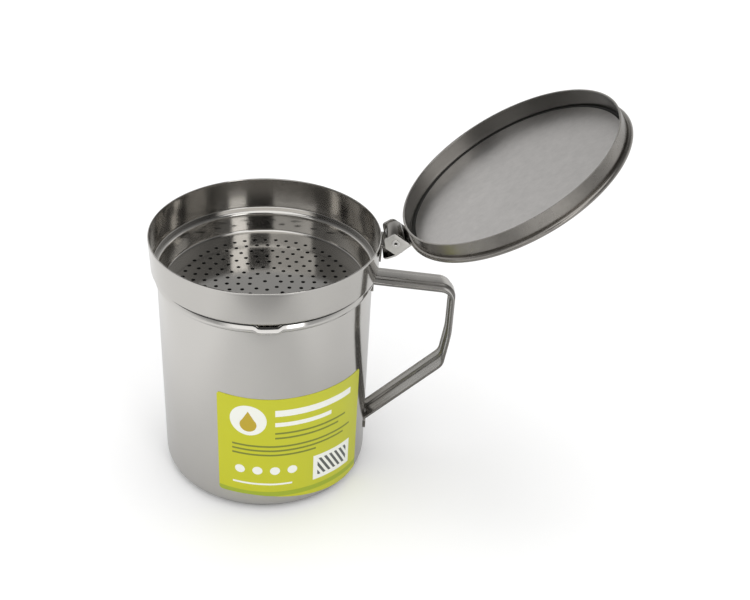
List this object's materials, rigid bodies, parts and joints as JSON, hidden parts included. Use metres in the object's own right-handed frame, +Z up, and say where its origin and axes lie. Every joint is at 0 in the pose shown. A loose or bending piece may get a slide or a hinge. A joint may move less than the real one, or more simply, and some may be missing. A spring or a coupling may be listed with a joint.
{
  "type": "grease container",
  "caption": "Lidded steel mug for keeping cooking grease, with a drop-in perforated strainer, a hinged plug lid with thumb tab, a strap handle and a pouring notch.",
  "frame": {"origin": "middle of the flat base, on the surface that the cup stands on", "axes": "+Z up, +X towards the handle and the lid's hinge, -Y roughly towards the pouring notch"},
  "size_m": [0.1773, 0.0916, 0.1611],
  "materials": {
    "steel_cup": "satin polished stainless steel",
    "steel_handle": "polished stainless steel strap",
    "steel_strainer": "finely brushed stainless steel",
    "steel_lid": "finely brushed stainless steel",
    "steel_hinge": "matt stamped stainless steel",
    "label": "printed film label, lime green"
  },
  "bodies": {
    "cup": {"cup": "steel_cup", "handle": "steel_handle", "label": "label"},
    "strainer": {"strainer": "steel_strainer", "hinge_bracket": "steel_hinge", "hinge_pin": "steel_hinge"},
    "lid": {"lid_disc": "steel_lid", "lid_hinge": "steel_hinge"}
  },
  "joints": [
    {"name": "strainer_lift", "type": "slide", "parent": "cup", "child": "strainer", "axis": [0, 0, 1], "range_m": [0, 0.05]},
    {"name": "lid_hinge_turn", "type": "hinge", "parent": "strainer", "child": "lid", "pos_m": [0.0503, 0, 0.10566], "axis": [0, 1, 0], "range_deg": [-146.8, 0]}
  ]
}
